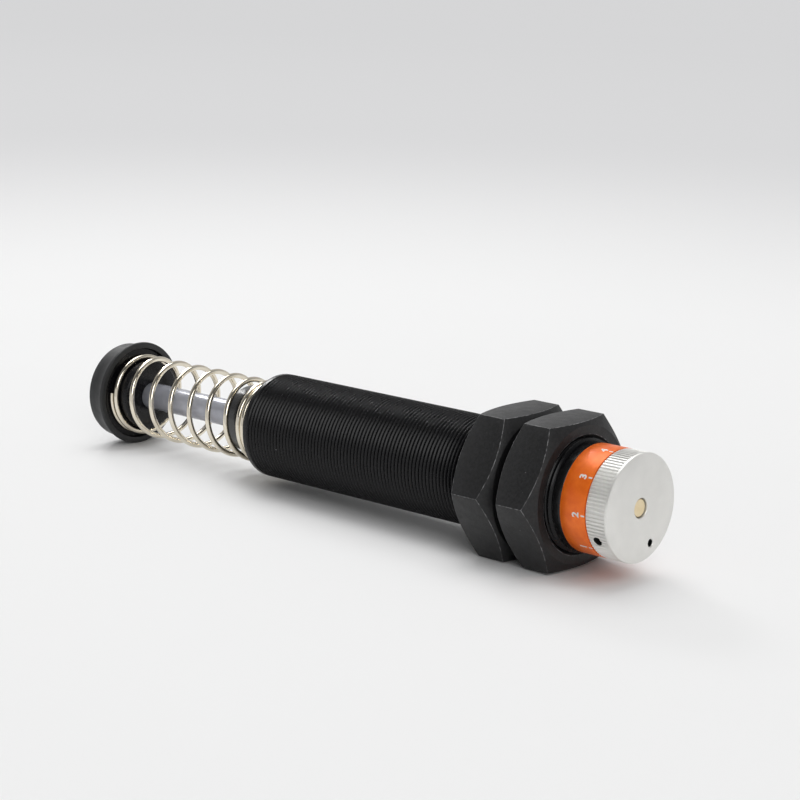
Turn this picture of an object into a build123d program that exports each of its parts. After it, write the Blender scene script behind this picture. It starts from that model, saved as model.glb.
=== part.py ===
from build123d import *
import math
import os

# Adjustable industrial shock absorber, 50 mm stroke, body thread M36 x 1.5, all sizes in mm.
# Frame: X is the stroke axis and runs from the impact head to the adjuster knob.
# The origin is the centre of the body's front face, which the return spring seats on. Z is up.

# Driving sizes: the body. Such absorbers come in several thread sizes, and their radii grow alike,
# so each radius below is given for the M36 body, 18.0 mm in radius, and is multiplied by grow.
BODY_R = 18.0                # M36 outside thread, crest radius
grow = BODY_R / 18.0
TUBE_WALL = 4.0 * grow
THREAD_PITCH = 1.5
THREAD_DEPTH = 0.92
THREAD_CREST = 0.25          # flat left on top of each ridge
THREAD_START = 2.6           # plain land behind the front face
THREAD_TAIL = 3.1            # plain tail behind the thread
TAIL_DROP = 0.9              # tail's radius under the crests
BODY_CHAMFER = 1.0

# Driving sizes: rod, stroke and head
ROD_R = 4.75 * grow
ROD_EDGE = 0.4
STROKE = 50.0
STOP_GAP = 0.3               # left between hub and gland at the end of the stroke
HUB_R = 12.4 * grow
HUB_LENGTH = 7.4
HUB_EDGE = 0.5
HUB_SOCKET_DEPTH = 4.0       # how far the rod's end stands in the hub
SEAT_FLANGE_R = 17.0 * grow
SEAT_FLANGE_T = 2.5
CAP_LIP_WALL = 1.65          # lip's radius over the flange's
CAP_LIP_T = 0.9              # lip's length in front of the flange
CAP_LIP_GRIP = 0.5           # how far the lip reaches in over the flange
CAP_LIP_EDGE = 0.3
CAP_WAIST_WALL = 0.2         # the waist behind the flange, over the flange's radius
CAP_DRAFT_BULGE = 0.42       # how much fuller the middle of the drawn-in side is
CAP_FACE_T = 5.6
CAP_EDGE = 1.0
HEAD_SCREW_R = 3.0 * grow
HEAD_SCREW_HEAD_R = 5.0 * grow
HEAD_SCREW_HEAD_T = 3.4
HEAD_SCREW_GRIP = 12.0
HEAD_SCREW_KEY_SHARE = 0.4
HEAD_SCREW_KEY_DEPTH = 2.0
SCREW_HOLE_GAP = 0.2
CAP_POCKET_GAP = 0.4         # room round the screw head inside the cap

# Driving sizes: return spring
WIRE_D = 1.9
COIL_GAP = 0.35              # between the coils and the hub they stand on
COIL_TURNS = 10.25
CLOSED_GAP = 0.2             # between the closed turns at each end
RISE_START, RISE_TURNS = 0.75, 1.0
FALL_START, FALL_TURNS = 7.0, 1.3
PITCH_TAPER = 0.35           # the open coils stand wider near the head
TIP_ANGLE = 170.7            # where the wire ends at the head, from +Y about +X
POINTS_PER_TURN = 24

# Driving sizes: gland and seals
GLAND_NOSE_LENGTH = 15.5
GLAND_NOSE_DROP = 2.5 * grow     # nose's radius under the tube's bore
GLAND_DEPTH = 20.0
GLAND_EDGE = 0.8
ROD_HOLE_GAP = 0.25
BEARING_WALL = 1.5 * grow
BEARING_IN_NOSE = 6.0
BEARING_SEAL_LAND = 2.5      # gland metal between bearing and rod seal
WIPER_WALL = 2.75 * grow
WIPER_DEPTH = 3.6
WIPER_LIP = 0.7
SEAL_WALL = 3.75 * grow
SEAL_DEPTH = 5.5
SEAL_CUP = 2.6
SEAL_LIP = 0.8
RETAINER_T = 2.0
SPANNER_HOLE_R = 1.1 * grow
SPANNER_HOLE_DEPTH = 4.0
ORING_R = 0.75 * grow
ORING_GROOVE_ROOM = 0.4
GLAND_ORING_SHARE = 0.5      # the O-ring's place along the gland inside the tube

# Driving sizes: pressure tube, piston and check plate
ANNULUS = 3.4 * grow         # radial room round the pressure tube
PRESSURE_WALL = 1.6 * grow
ORIFICE_R = 0.8
ORIFICE_COUNT = 6
ORIFICE_FIRST_SHARE, ORIFICE_LAST_SHARE = 0.46, 1.01   # of the stroke
RETURN_PORT_R = 1.0
RETURN_PORTS = 4
FOAM_GAP = 0.3
FOAM_END_ROOM = 4.0
FOAM_ORIFICE_ROOM = 3.0
PISTON_SETBACK = 3.0
PISTON_LENGTH = 10.0
PISTON_NECK_DROP = 1.25 * grow
PISTON_PORT_SHARE = 0.5      # of the room between neck and ring groove
PISTON_PORTS = 6
RING_W = 2.4
RING_DEPTH = 1.2 * grow
RING_SLOT = 0.6
PLATE_DROP = 1.4 * grow
PLATE_T = 1.0
PLATE_LIFT = 1.0
PISTON_NUT_WALL = 1.0 * grow
PISTON_NUT_T = 5.0
ROD_TAIL = 1.0
END_ROOM = 4.93              # between the rod's tail and the rear plug at full stroke

# Driving sizes: rear plug, needle and adjuster
PLUG_SPIGOT_LENGTH = 6.0
PLUG_WAIST_STEP = 0.4 * grow
PLUG_WAIST_LENGTH = 8.0
PLUG_CAVITY_LENGTH = 26.0    # from the plug's front
PLUG_SHAFT_LENGTH = 14.6     # from the cavity's back to the body's end
DIAL_LENGTH = 9.4
DIAL_DROP = 0.85             # the dial's and the knob's radius under the thread's crests
DIAL_WALL = 2.13 * grow
CAVITY_R = 5.0 * grow
SEAT_DISC_WALL = 1.5 * grow
SEAT_DISC_T = 3.0
SEAT_DISC_CHAMFER = 1.0
ORIFICE_SEAT_R = 1.5 * grow
PORT_R = 1.2
PORT_COUNT = 4
NEEDLE_GAP = 0.4
NEEDLE_TIP_R = 1.1 * grow
NEEDLE_CONE_R = 3.6 * grow
NEEDLE_CONE_LENGTH = 5.4
NEEDLE_TRAVEL = 0.75         # from the dial's rest reading to closed
NEEDLE_PIN_R = 0.8
NEEDLE_PIN_SETBACK = 1.5     # pin's axis behind the plug's waist
NEEDLE_SLOT_LENGTH = 4.0
NEEDLE_SLOT_END = 0.5
NEEDLE_PIN_DEPTH = 1.5
SHAFT_R = 2.85 * grow
SHAFT_THREAD_DROP = 0.45 * grow
SHAFT_THREAD_LENGTH = 9.0
SHAFT_COLLAR_T = 2.0
SHAFT_RECESS = 0.5
SHAFT_EDGE = 0.2
CIRCLIP_T = 1.0
CIRCLIP_GROOVE = 0.6
CIRCLIP_SLOT = 2.0
SHAFT_ORING_SETBACK = 6.0    # behind the cavity
FILLER_R = 1.5
FILLER_SETBACK = 9.0         # in front of the plug's rear face
FILLER_LENGTH = 6.0
FILLER_OFFSET = 3.0 * grow   # outside the knob's boss
FILLER_PASSAGE_R = 0.8

# Driving sizes: knob
KNOB_T = 8.0
KNOB_GAP = 0.2
KNOB_EDGE = 0.4
KNOB_RIM = 0.7               # plain rim between the knurl and the face
KNURL_TEETH = 90
KNURL_DEPTH = 0.4
KNURL_RISE, KNURL_FALL = 0.35, 0.65    # where a tooth's flat starts and ends
KNOB_BORE_GAP = 0.3
KNOB_BOSS_WALL = 2.85 * grow
KNOB_BOSS_LENGTH = 4.0
SET_SCREW_R = 1.5
SET_SCREW_LENGTH = 5.0
SET_HOLE_ANGLE = 209.1       # side hole, from +Y about +X
SET_HOLE_SHARE = 0.4         # side hole's axis along the knob, from its back
LOCK_SCREW_R = 1.3
LOCK_SCREW_LENGTH = 5.0
LOCK_HOLE_SHARE = 0.77       # face hole's circle, as a share of the knob's radius
LOCK_HOLE_ANGLE = -66.2      # face hole, from +Y about +X
KEY_SHARE = 0.5              # a grub screw's hexagon socket, as a share of its radius
KEY_DEPTH = 1.5

# Driving sizes: lock nuts
NUT_WALL = 5.0 * grow        # from the thread's crests to a flat
NUT_T = 15.4
NUT_SPACE = 2.5
NUT_SETBACK = 1.6            # rear nut's back face in front of the thread's end
NUT_BORE_CHAMFER = 1.0
NUT_CHAMFER_ANGLE = 30.0
NUT_FACE_SHARE = 0.95        # washer face diameter as a share of the width across flats

# Clearances
RUNNING = 0.05               # radial, between pieces that slide or turn on each other
SEATED = 0.02                # radial, between pieces that stay put
SEAL_GAP = 0.05
PAST = 1.0                   # how far a cutting tool runs past the surface it cuts

# Derived radii
bore_r = BODY_R - TUBE_WALL
seated_r = bore_r - SEATED
thread_root_r = BODY_R - THREAD_DEPTH
tail_r = BODY_R - TAIL_DROP
nut_flats = 2 * (BODY_R + NUT_WALL)
nut_bore_r = BODY_R + RUNNING
cap_lip_r = SEAT_FLANGE_R + CAP_LIP_WALL
cap_lip_bore_r = SEAT_FLANGE_R - CAP_LIP_GRIP
cap_r = SEAT_FLANGE_R + CAP_WAIST_WALL
coil_r = HUB_R + COIL_GAP + WIRE_D / 2
rod_hole_r = ROD_R + ROD_HOLE_GAP
bearing_r = ROD_R + BEARING_WALL
wiper_r = ROD_R + WIPER_WALL
seal_r = ROD_R + SEAL_WALL
nose_r = bore_r - GLAND_NOSE_DROP
spanner_hole_pcr = (wiper_r + nose_r) / 2
oring_groove_r = seated_r - 2 * ORING_R - SEATED
oring_groove_w = 2 * ORING_R + ORING_GROOVE_ROOM
pressure_tube_r = bore_r - ANNULUS
pressure_r = pressure_tube_r - PRESSURE_WALL
piston_r = pressure_r - RUNNING
neck_r = ROD_R - PISTON_NECK_DROP
ring_floor_r = piston_r - RING_DEPTH
piston_port_pcr = (neck_r + ring_floor_r) / 2
piston_port_r = (ring_floor_r - neck_r) / 2 * PISTON_PORT_SHARE
plug_waist_r = pressure_tube_r + PLUG_WAIST_STEP
dial_r = BODY_R - DIAL_DROP
dial_seat_r = dial_r - DIAL_WALL - SEATED
needle_r = CAVITY_R - NEEDLE_GAP
shaft_thread_r = SHAFT_R - SHAFT_THREAD_DROP
knob_bore_r = SHAFT_R + KNOB_BORE_GAP
knob_boss_r = knob_bore_r + KNOB_BOSS_WALL
filler_pcr = knob_boss_r + FILLER_OFFSET
lock_hole_pcr = dial_r * LOCK_HOLE_SHARE

# Derived places along X, head to knob
gland_nose_x = -GLAND_NOSE_LENGTH
hub_end_x = gland_nose_x - STOP_GAP - STROKE
rod_head_x = hub_end_x - HUB_SOCKET_DEPTH
seat_face_x = hub_end_x - HUB_LENGTH
flange_back_x = seat_face_x - SEAT_FLANGE_T
cap_lip_x = seat_face_x + CAP_LIP_T
cap_face_x = flange_back_x - CAP_FACE_T
gland_oring_x = GLAND_DEPTH * GLAND_ORING_SHARE
bearing_back = GLAND_DEPTH - SEAL_DEPTH - BEARING_SEAL_LAND
retainer_back_x = GLAND_DEPTH + RETAINER_T
piston_front = retainer_back_x + PISTON_SETBACK
piston_back = piston_front + PISTON_LENGTH
ring_x = (piston_front + piston_back) / 2
plate_front = piston_back + SEATED
piston_nut_front = plate_front + PLATE_T + PLATE_LIFT + RUNNING
piston_nut_back = piston_nut_front + PISTON_NUT_T
rod_tail_x = piston_nut_back + ROD_TAIL
orifice_first_x = piston_back + STROKE * ORIFICE_FIRST_SHARE
orifice_last_x = piston_back + STROKE * ORIFICE_LAST_SHARE
foam_front = retainer_back_x + FOAM_END_ROOM
foam_back = orifice_first_x - FOAM_ORIFICE_ROOM
plug_front = rod_tail_x + STROKE + END_ROOM
plug_shoulder_x = plug_front + PLUG_SPIGOT_LENGTH
plug_body_x = plug_shoulder_x + PLUG_WAIST_LENGTH
cavity_back = plug_front + PLUG_CAVITY_LENGTH
plug_oring_x = (plug_body_x + cavity_back) / 2
shaft_oring_x = cavity_back + SHAFT_ORING_SETBACK
body_end_x = cavity_back + PLUG_SHAFT_LENGTH
thread_end_x = body_end_x - THREAD_TAIL
plug_back_x = body_end_x + DIAL_LENGTH
filler_x = plug_back_x - FILLER_SETBACK
knob_back_x = plug_back_x + KNOB_GAP
knob_face_x = knob_back_x + KNOB_T
set_hole_x = knob_back_x + KNOB_T * SET_HOLE_SHARE
collar_front = cavity_back - RUNNING - SHAFT_COLLAR_T
circlip_front = collar_front - RUNNING - CIRCLIP_T
seat_edge_x = plug_front + SEAT_DISC_T - SEAT_DISC_CHAMFER
needle_slope = (NEEDLE_CONE_R - NEEDLE_TIP_R) / NEEDLE_CONE_LENGTH
needle_front = seat_edge_x - (ORIFICE_SEAT_R - RUNNING - NEEDLE_TIP_R) / needle_slope + NEEDLE_TRAVEL
needle_pin_x = plug_body_x + NEEDLE_PIN_SETBACK
needle_back = needle_pin_x + NEEDLE_SLOT_LENGTH / 2 + NEEDLE_SLOT_END
shaft_front = needle_back + PAST - SHAFT_THREAD_LENGTH
nut_rear_x = thread_end_x - NUT_SETBACK - NUT_T
nut_front_x = nut_rear_x - NUT_SPACE - NUT_T


def turned(points):
    """A solid turned about the X axis from a closed outline of (x, radius) points."""
    return revolve(make_face(Polyline(*points, close=True)), Axis.X, 360)


def ring(x0, x1, r0, r1):
    """A plain tube or washer."""
    return turned([(x0, r0), (x1, r0), (x1, r1), (x0, r1)])


def rod_along_x(x0, x1, r, y=0.0, z=0.0):
    """A cylinder along X."""
    return Pos((x0 + x1) / 2, y, z) * (Rot(0, 90, 0) * Cylinder(r, x1 - x0))


def radial_rod(x, angle, r_in, r_out, r):
    """A cylinder that points away from the X axis, at an angle from +Y about +X."""
    stick = Pos(0, 0, (r_in + r_out) / 2) * Cylinder(r, r_out - r_in)
    return Pos(x, 0, 0) * (Rot(angle - 90, 0, 0) * stick)


def on_circle(r, angle):
    """Y and Z of a point at a radius and an angle from +Y about +X."""
    a = math.radians(angle)
    return r * math.cos(a), r * math.sin(a)


def hex_bar(x0, x1, flats, y=0.0, z=0.0):
    """A hexagonal bar along X with two flats level."""
    corner = flats / math.sqrt(3)
    points = [on_circle(corner, 60 * k) for k in range(6)]
    outline = make_face(Polyline(*points, close=True))
    bar = extrude(Plane.YZ * outline, amount=x1 - x0)
    return Pos(x0, y, z) * bar


def oring(x, r_inner):
    """An O-ring round the X axis."""
    section = Pos(x, r_inner + ORING_R, 0) * Circle(ORING_R)
    return revolve(section, Axis.X, 360)


def groove(x, r0, r1):
    """The room for an O-ring's groove."""
    return ring(x - oring_groove_w / 2, x + oring_groove_w / 2, r0, r1)


def grub_screw(x0, x1, r, y=0.0, z=0.0):
    """A headless screw along X with its hexagon socket in the +X end."""
    body = rod_along_x(x0, x1, r, y, z)
    return body - hex_bar(x1 - KEY_DEPTH, x1 + PAST, 2 * r * KEY_SHARE, y, z)


def make_outer_tube():
    """The threaded body tube. The thread is drawn as rings of its true pitch and depth."""
    flank = (THREAD_PITCH - THREAD_CREST) / 2
    points = [(0, bore_r), (0, BODY_R - BODY_CHAMFER), (BODY_CHAMFER, BODY_R)]
    x = THREAD_START
    while x + THREAD_PITCH <= thread_end_x:
        points += [(x, BODY_R), (x + flank, thread_root_r), (x + 2 * flank, BODY_R)]
        x += THREAD_PITCH
    points += [(thread_end_x, BODY_R), (thread_end_x + TAIL_DROP, tail_r)]
    points += [(body_end_x, tail_r), (body_end_x, bore_r)]
    return turned(points)


def make_front_gland():
    """The gland: its nose stands out through the spring, and it carries bearing and seals."""
    points = [(gland_nose_x, rod_hole_r), (gland_nose_x, nose_r - GLAND_EDGE)]
    points += [(gland_nose_x + GLAND_EDGE, nose_r), (0, nose_r), (0, seated_r)]
    points += [(GLAND_DEPTH, seated_r), (GLAND_DEPTH, rod_hole_r)]
    body = turned(points)
    body -= rod_along_x(-BEARING_IN_NOSE, bearing_back, bearing_r)
    body -= rod_along_x(gland_nose_x - PAST, gland_nose_x + WIPER_DEPTH, wiper_r)
    body -= rod_along_x(GLAND_DEPTH - SEAL_DEPTH, GLAND_DEPTH + PAST, seal_r)
    body -= groove(gland_oring_x, oring_groove_r, seated_r + PAST)
    for angle in (0, 180):
        y, z = on_circle(spanner_hole_pcr, angle)
        body -= rod_along_x(gland_nose_x - PAST, gland_nose_x + SPANNER_HOLE_DEPTH, SPANNER_HOLE_R, y, z)
    return body


def make_rod_wiper():
    """The wiper: a ring whose lip leans out over the rod at the gland's mouth."""
    front, back = gland_nose_x + SEATED, gland_nose_x + WIPER_DEPTH - SEATED
    lip = ROD_R + SEAL_GAP
    outside = wiper_r - SEATED
    mid = (lip + outside) / 2
    points = [(front + 2 * WIPER_LIP, outside), (front + 2 * WIPER_LIP, mid + WIPER_LIP / 2)]
    points += [(front, lip + WIPER_LIP), (front, lip), (front + 2 * WIPER_LIP, lip + WIPER_LIP)]
    points += [(back, lip + WIPER_LIP), (back, outside)]
    return turned(points)


def make_rod_seal():
    """The rod seal: a U-cup, open towards the oil."""
    front, back = GLAND_DEPTH - SEAL_DEPTH + SEATED, GLAND_DEPTH - SEATED
    inner, outer = ROD_R + SEAL_GAP, seal_r - SEATED
    mid = (inner + outer) / 2
    points = [(front, inner), (back, inner), (back, inner + SEAL_LIP), (back - SEAL_CUP, mid - SEAL_LIP / 2)]
    points += [(back - SEAL_CUP, mid + SEAL_LIP / 2), (back, outer - SEAL_LIP), (back, outer), (front, outer)]
    return turned(points)


def make_pressure_tube():
    """The inner tube: metering orifices along its upper wall, return ports near the gland."""
    tube = ring(retainer_back_x, plug_shoulder_x, pressure_r, pressure_tube_r)
    for k in range(RETURN_PORTS):
        tube -= radial_rod(retainer_back_x + 2 * RETURN_PORT_R, 360 * k / RETURN_PORTS, 0,
                           pressure_tube_r + PAST, RETURN_PORT_R)
    for k in range(ORIFICE_COUNT):
        x = orifice_first_x + (orifice_last_x - orifice_first_x) * k / (ORIFICE_COUNT - 1)
        tube -= radial_rod(x, 90, 0, pressure_tube_r + PAST, ORIFICE_R)
    return tube


def make_piston():
    """The piston, drilled through for the returning oil, with a groove for its ring."""
    body = ring(piston_front, piston_back, neck_r + SEATED, piston_r)
    body -= ring(ring_x - RING_W / 2, ring_x + RING_W / 2, ring_floor_r, piston_r + PAST)
    for k in range(PISTON_PORTS):
        y, z = on_circle(piston_port_pcr, 360 * k / PISTON_PORTS)
        body -= rod_along_x(piston_front - PAST, piston_back + PAST, piston_port_r, y, z)
    return body


def make_piston_ring():
    """The split ring in the piston's groove."""
    half = RING_W / 2 - SEATED
    hoop = ring(ring_x - half, ring_x + half, ring_floor_r + SEATED, piston_r + RUNNING / 2)
    return hoop - Pos(ring_x, piston_r, 0) * Box(RING_W + PAST, 2 * RING_DEPTH + PAST, RING_SLOT)


def make_piston_nut():
    """The nut that holds the piston and stops the check plate."""
    bar = hex_bar(piston_nut_front, piston_nut_back, 2 * (neck_r + PISTON_NUT_WALL))
    return bar - rod_along_x(piston_nut_front - PAST, piston_nut_back + PAST, neck_r + SEATED)


def make_piston_rod():
    """The ground rod, with a neck for the piston and a tapped hole for the head screw."""
    points = [(rod_head_x, 0), (rod_head_x, ROD_R - ROD_EDGE), (rod_head_x + ROD_EDGE, ROD_R)]
    points += [(piston_front, ROD_R), (piston_front, neck_r), (rod_tail_x, neck_r), (rod_tail_x, 0)]
    hole_r = HEAD_SCREW_R + SEATED
    return turned(points) - rod_along_x(rod_head_x - PAST, rod_head_x + HEAD_SCREW_GRIP + PAST, hole_r)


def make_spring_seat():
    """The spring seat: a flange that the spring pushes on, and the hub inside the coils."""
    hole_r = HEAD_SCREW_R + SCREW_HOLE_GAP
    socket_r = ROD_R + SEATED
    points = [(flange_back_x, hole_r), (flange_back_x, SEAT_FLANGE_R), (seat_face_x, SEAT_FLANGE_R)]
    points += [(seat_face_x, HUB_R), (hub_end_x - HUB_EDGE, HUB_R), (hub_end_x, HUB_R - HUB_EDGE)]
    points += [(hub_end_x, socket_r), (rod_head_x, socket_r), (rod_head_x, hole_r)]
    return turned(points)


def make_bumper_cap():
    """The moulded cap: a lip grips the flange, the waist is drawn in, the far edge is rounded."""
    pocket_r = HEAD_SCREW_HEAD_R + CAP_POCKET_GAP
    pocket_x = flange_back_x - HEAD_SCREW_HEAD_T - CAP_POCKET_GAP
    flange_r = SEAT_FLANGE_R + SEATED
    lip_back = seat_face_x
    waist_x = cap_face_x + 3 * CAP_EDGE
    full_x = (3 * seat_face_x + cap_face_x) / 4
    line = Polyline((cap_lip_x, cap_lip_bore_r), (cap_lip_x, cap_lip_r - CAP_LIP_EDGE),
                    (cap_lip_x - CAP_LIP_EDGE, cap_lip_r), (lip_back, cap_lip_r))
    line += Spline((lip_back, cap_lip_r), (full_x, cap_r + CAP_DRAFT_BULGE), (waist_x, cap_r),
                   tangents=[(-0.5, -1), (-1, 0)])
    line += Line((waist_x, cap_r), (cap_face_x + CAP_EDGE, cap_r))
    line += RadiusArc((cap_face_x + CAP_EDGE, cap_r), (cap_face_x, cap_r - CAP_EDGE), -CAP_EDGE)
    line += Polyline((cap_face_x, cap_r - CAP_EDGE), (cap_face_x, 0), (pocket_x, 0), (pocket_x, pocket_r),
                     (flange_back_x, pocket_r), (flange_back_x, flange_r), (seat_face_x, flange_r),
                     (seat_face_x, cap_lip_bore_r), (cap_lip_x, cap_lip_bore_r))
    return revolve(make_face(line), Axis.X, 360)


def make_head_screw():
    """The screw that holds the spring seat on the rod."""
    head_x = flange_back_x - HEAD_SCREW_HEAD_T
    head = rod_along_x(head_x, flange_back_x, HEAD_SCREW_HEAD_R)
    shank = rod_along_x(flange_back_x, rod_head_x + HEAD_SCREW_GRIP, HEAD_SCREW_R)
    key = hex_bar(head_x - PAST, head_x + HEAD_SCREW_KEY_DEPTH, 2 * HEAD_SCREW_HEAD_R * HEAD_SCREW_KEY_SHARE)
    return head + shank - key


def smooth_step(t):
    """0 before 0, 1 after 1, and a smooth rise between."""
    t = min(max(t, 0.0), 1.0)
    return t * t * (3 - 2 * t)


def spring_points():
    """Points along the wire. The pitch opens from the closed end turns, and tapers along the coils."""
    count = int(COIL_TURNS * POINTS_PER_TURN)
    step = COIL_TURNS / count
    closed_pitch = WIRE_D + CLOSED_GAP
    open_turns = FALL_START + FALL_TURNS - RISE_START
    openness, total = [0.0], 0.0
    for k in range(count):
        t = (k + 0.5) * step
        share = (t - RISE_START) / open_turns
        w = smooth_step((t - RISE_START) / RISE_TURNS) * (1 - smooth_step((t - FALL_START) / FALL_TURNS))
        total += w * (1 + PITCH_TAPER * (0.5 - share)) * step
        openness.append(total)
    room = -seat_face_x - WIRE_D - 2 * SEATED
    opening = (room - closed_pitch * COIL_TURNS) / total
    points = []
    for k in range(count + 1):
        t = k * step
        y, z = on_circle(coil_r, TIP_ANGLE + 360 * t)
        x = seat_face_x + WIRE_D / 2 + SEATED + closed_pitch * t + opening * openness[k]
        points.append((x, y, z))
    return points


def make_return_spring():
    """The return spring: round wire with closed end turns."""
    path = Spline(*spring_points())
    section = Plane(origin=path @ 0, z_dir=path % 0) * Circle(WIRE_D / 2)
    return sweep(section, path=path, is_frenet=True)


def make_rear_plug():
    """The rear plug: spigot in the pressure tube, waist with oil ports, body, dial seat."""
    spigot_r = pressure_r - SEATED
    points = [(plug_front, CAVITY_R), (plug_front, spigot_r), (plug_shoulder_x, spigot_r)]
    points += [(plug_shoulder_x, plug_waist_r), (plug_body_x, plug_waist_r), (plug_body_x, seated_r)]
    points += [(body_end_x, seated_r), (body_end_x, dial_seat_r), (plug_back_x, dial_seat_r)]
    points += [(plug_back_x, SHAFT_R + RUNNING), (cavity_back, SHAFT_R + RUNNING), (cavity_back, CAVITY_R)]
    body = turned(points)
    body -= rod_along_x(plug_front - PAST, plug_front + SEAT_DISC_T, CAVITY_R + SEAT_DISC_WALL)
    body -= groove(plug_oring_x, oring_groove_r, seated_r + PAST)
    body -= groove(shaft_oring_x, SHAFT_R, SHAFT_R + 2 * ORING_R + SEAL_GAP + SEATED)
    clip_back = circlip_front + CIRCLIP_T + SEATED
    body -= ring(circlip_front - SEATED, clip_back, CAVITY_R / 2, CAVITY_R + CIRCLIP_GROOVE)
    body -= rod_along_x(plug_back_x - KNOB_BOSS_LENGTH - RUNNING, plug_back_x + PAST, knob_boss_r + RUNNING)
    port_x = plug_shoulder_x + 2 * PORT_R
    for k in range(PORT_COUNT):
        body -= radial_rod(port_x, 45 + 360 * k / PORT_COUNT, 0, plug_waist_r + PAST, PORT_R)
    body -= radial_rod(needle_pin_x, 0, CAVITY_R / 2, seated_r + PAST, NEEDLE_PIN_R)
    y, z = on_circle(filler_pcr, 90)
    passage_x = plug_body_x - 2 * FILLER_PASSAGE_R
    body -= rod_along_x(filler_x, plug_back_x + PAST, FILLER_R + SEATED, y, z)
    body -= rod_along_x(passage_x, filler_x, FILLER_PASSAGE_R, y, z)
    body -= radial_rod(passage_x, 90, filler_pcr, plug_waist_r + PAST, FILLER_PASSAGE_R)
    return body


def make_orifice_seat():
    """The hardened disc with the orifice that the needle closes."""
    back = plug_front + SEAT_DISC_T
    outer = CAVITY_R + SEAT_DISC_WALL - SEATED
    points = [(plug_front, ORIFICE_SEAT_R), (plug_front, outer), (back, outer)]
    points += [(back, ORIFICE_SEAT_R + SEAT_DISC_CHAMFER), (seat_edge_x, ORIFICE_SEAT_R)]
    return turned(points)


def make_metering_needle():
    """The needle: a cone in front, a slot for its pin, a tapped hole for the shaft."""
    cone_back = needle_front + NEEDLE_CONE_LENGTH
    hole_front = shaft_front - PAST
    hole_r = shaft_thread_r + SEATED
    points = [(needle_front, 0), (needle_front, NEEDLE_TIP_R), (cone_back, NEEDLE_CONE_R)]
    points += [(cone_back, needle_r), (needle_back, needle_r), (needle_back, hole_r)]
    points += [(hole_front, hole_r), (hole_front, 0)]
    slot = Box(NEEDLE_SLOT_LENGTH, NEEDLE_PIN_DEPTH + PAST, 2 * (NEEDLE_PIN_R + RUNNING))
    return turned(points) - Pos(needle_pin_x, needle_r - (NEEDLE_PIN_DEPTH - PAST) / 2, 0) * slot


def make_needle_pin():
    """The pin in the plug's wall that stops the needle from turning."""
    inner = needle_r - NEEDLE_PIN_DEPTH + 3 * RUNNING
    return radial_rod(needle_pin_x, 0, inner, seated_r - SEATED, NEEDLE_PIN_R - SEATED)


def make_adjuster_shaft():
    """The brass shaft: threaded into the needle, held by its collar, its end in the knob's face."""
    collar_back = collar_front + SHAFT_COLLAR_T
    end = knob_face_x - SHAFT_RECESS
    thread_back = needle_back + PAST
    points = [(shaft_front, 0), (shaft_front, shaft_thread_r), (thread_back, shaft_thread_r)]
    points += [(thread_back, SHAFT_R), (collar_front, SHAFT_R), (collar_front, needle_r)]
    points += [(collar_back, needle_r), (collar_back, SHAFT_R), (end - SHAFT_EDGE, SHAFT_R)]
    points += [(end, SHAFT_R - SHAFT_EDGE), (end, 0)]
    return turned(points)


def make_shaft_circlip():
    """The spring clip in front of the shaft's collar."""
    hoop_r = CAVITY_R + CIRCLIP_GROOVE
    hoop = ring(circlip_front, circlip_front + CIRCLIP_T, SHAFT_R + CIRCLIP_GROOVE, hoop_r - SEATED)
    slot = Box(CIRCLIP_T + PAST, CIRCLIP_SLOT, 2 * hoop_r)
    return hoop - Pos(circlip_front + CIRCLIP_T / 2, 0, -hoop_r) * slot


def make_knob():
    """The knob: straight knurl, plain rim at the face, boss in the plug, two screw holes."""
    points = []
    for k in range(KNURL_TEETH):
        for share, r in ((0.0, dial_r - KNURL_DEPTH), (KNURL_RISE, dial_r), (KNURL_FALL, dial_r)):
            points.append(on_circle(r, 360 * (k + share) / KNURL_TEETH))
    outline = make_face(Polyline(*points, close=True))
    knurl = Pos(knob_back_x, 0, 0) * extrude(Plane.YZ * outline, amount=KNOB_T - KNOB_RIM)
    knurl -= turned([(knob_back_x - PAST, dial_r + PAST), (knob_back_x - PAST, dial_r - KNOB_EDGE - PAST),
                     (knob_back_x + KNOB_EDGE + PAST, dial_r + PAST)])
    rim_x = knob_face_x - KNOB_RIM
    rim = turned([(rim_x, 0), (rim_x, dial_r), (knob_face_x - KNOB_EDGE, dial_r),
                  (knob_face_x, dial_r - KNOB_EDGE), (knob_face_x, 0)])
    boss_x = plug_back_x - KNOB_BOSS_LENGTH
    body = knurl + rim + rod_along_x(boss_x, knob_back_x, knob_boss_r)
    body -= rod_along_x(boss_x - PAST, knob_face_x + PAST, knob_bore_r)
    body -= radial_rod(set_hole_x, SET_HOLE_ANGLE, 0, dial_r + PAST, SET_SCREW_R + SEATED)
    y, z = on_circle(lock_hole_pcr, LOCK_HOLE_ANGLE)
    body -= rod_along_x(knob_back_x - PAST, knob_face_x + PAST, LOCK_SCREW_R + SEATED, y, z)
    return body


def make_knob_set_screw():
    """The grub screw that holds the knob on its shaft."""
    screw = grub_screw(SHAFT_R + SEATED, SHAFT_R + SEATED + SET_SCREW_LENGTH, SET_SCREW_R)
    return Pos(set_hole_x, 0, 0) * (Rot(SET_HOLE_ANGLE - 90, 0, 0) * (Rot(0, -90, 0) * screw))


def make_knob_lock_screw():
    """The grub screw in the knob's face that locks the setting against the plug."""
    y, z = on_circle(lock_hole_pcr, LOCK_HOLE_ANGLE)
    front = plug_back_x + RUNNING
    return grub_screw(front, front + LOCK_SCREW_LENGTH, LOCK_SCREW_R, y, z)


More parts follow.
